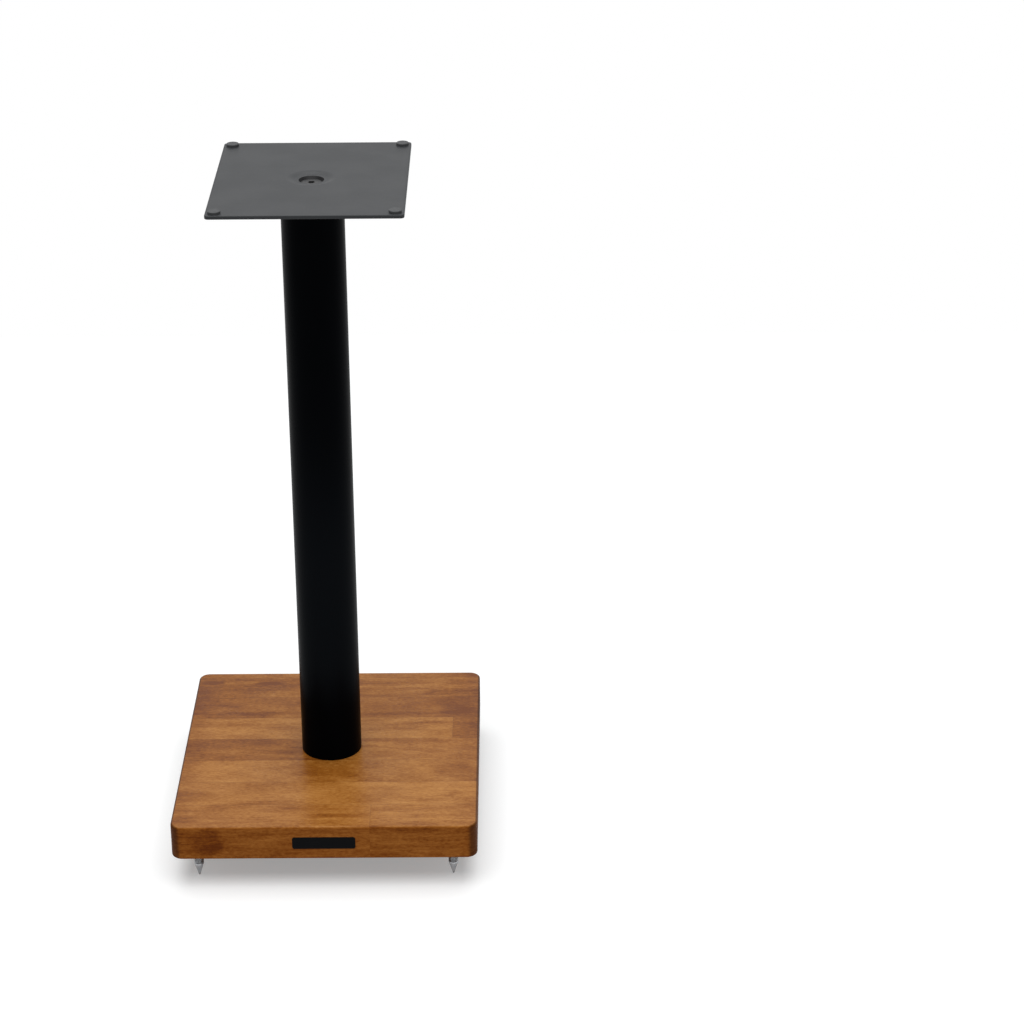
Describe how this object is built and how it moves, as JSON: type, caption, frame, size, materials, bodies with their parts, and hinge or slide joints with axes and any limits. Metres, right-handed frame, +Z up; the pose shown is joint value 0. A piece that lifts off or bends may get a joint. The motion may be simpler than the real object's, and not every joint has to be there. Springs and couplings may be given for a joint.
{
  "type": "speaker stand",
  "caption": "Round steel column on a wooden base board with adjustable floor spikes and a turning steel top plate with corner pads, for a bookshelf loudspeaker.",
  "frame": {"origin": "on the floor under the column's axis, at the middle of the base", "axes": "+Z up along the column; -Y the front, where the bare name plate is; +X the right-hand side seen from the front"},
  "size_m": [0.248, 0.2664, 0.561],
  "materials": {
    "oiled_hardwood": "lacquered hardwood staves, warm mid brown, semi-gloss",
    "column_paint": "satin black powder coat",
    "plate_paint": "fine-textured satin black powder coat",
    "black_screw": "black oxide steel",
    "zinc_steel": "zinc plated, bright",
    "bare_steel": "bare turned steel, inside the column",
    "spike_chrome": "bright nickel plate",
    "pad_rubber": "matt black rubber",
    "badge_black": "black anodised, bare"
  },
  "bodies": {
    "base_and_column": {"base_board": "oiled_hardwood", "column_tube": "column_paint", "column_upper_disc": "bare_steel", "column_lower_disc": "bare_steel", "base_bolt": "zinc_steel", "base_bolt_washer": "zinc_steel", "base_bolt_spring_washer": "zinc_steel", "badge_plate": "badge_black", "top_plate_screw": "black_screw", "threaded_insert_front_left": "zinc_steel", "threaded_insert_front_right": "zinc_steel", "threaded_insert_back_left": "zinc_steel", "threaded_insert_back_right": "zinc_steel"},
    "top_plate": {"top_plate": "plate_paint", "speaker_pad_front_left": "pad_rubber", "speaker_pad_front_right": "pad_rubber", "speaker_pad_back_left": "pad_rubber", "speaker_pad_back_right": "pad_rubber"},
    "lock_nut_front_left": {"spike_lock_nut_front_left": "zinc_steel"},
    "spike_front_left": {"floor_spike_front_left": "spike_chrome"},
    "lock_nut_front_right": {"spike_lock_nut_front_right": "zinc_steel"},
    "spike_front_right": {"floor_spike_front_right": "spike_chrome"},
    "lock_nut_back_left": {"spike_lock_nut_back_left": "zinc_steel"},
    "spike_back_left": {"floor_spike_back_left": "spike_chrome"},
    "lock_nut_back_right": {"spike_lock_nut_back_right": "zinc_steel"},
    "spike_back_right": {"floor_spike_back_right": "spike_chrome"}
  },
  "joints": [
    {"name": "top_plate_swivel", "type": "hinge", "parent": "base_and_column", "child": "top_plate", "pos_m": [0, 0, 0.556], "axis": [0, 0, 1], "continuous": true},
    {"name": "spike_turn_front_left", "type": "hinge", "parent": "base_and_column", "child": "lock_nut_front_left", "pos_m": [-0.104, -0.113, 0.022], "axis": [0, 0, 1], "range_deg": [-2160, 1440]},
    {"name": "spike_travel_front_left", "type": "slide", "parent": "lock_nut_front_left", "child": "spike_front_left", "axis": [0, 0, 1], "range_m": [-0.0075, 0.005]},
    {"name": "spike_turn_front_right", "type": "hinge", "parent": "base_and_column", "child": "lock_nut_front_right", "pos_m": [0.104, -0.113, 0.022], "axis": [0, 0, 1], "range_deg": [-2160, 1440]},
    {"name": "spike_travel_front_right", "type": "slide", "parent": "lock_nut_front_right", "child": "spike_front_right", "axis": [0, 0, 1], "range_m": [-0.0075, 0.005]},
    {"name": "spike_turn_back_left", "type": "hinge", "parent": "base_and_column", "child": "lock_nut_back_left", "pos_m": [-0.104, 0.113, 0.022], "axis": [0, 0, 1], "range_deg": [-2160, 1440]},
    {"name": "spike_travel_back_left", "type": "slide", "parent": "lock_nut_back_left", "child": "spike_back_left", "axis": [0, 0, 1], "range_m": [-0.0075, 0.005]},
    {"name": "spike_turn_back_right", "type": "hinge", "parent": "base_and_column", "child": "lock_nut_back_right", "pos_m": [0.104, 0.113, 0.022], "axis": [0, 0, 1], "range_deg": [-2160, 1440]},
    {"name": "spike_travel_back_right", "type": "slide", "parent": "lock_nut_back_right", "child": "spike_back_right", "axis": [0, 0, 1], "range_m": [-0.0075, 0.005]}
  ],
  "couplings": [
    {"joint": "spike_turn_front_left", "follows": "spike_travel_front_left", "rad_per_m": 5026.5},
    {"joint": "spike_turn_front_right", "follows": "spike_travel_front_right", "rad_per_m": 5026.5},
    {"joint": "spike_turn_back_left", "follows": "spike_travel_back_left", "rad_per_m": 5026.5},
    {"joint": "spike_turn_back_right", "follows": "spike_travel_back_right", "rad_per_m": 5026.5}
  ]
}
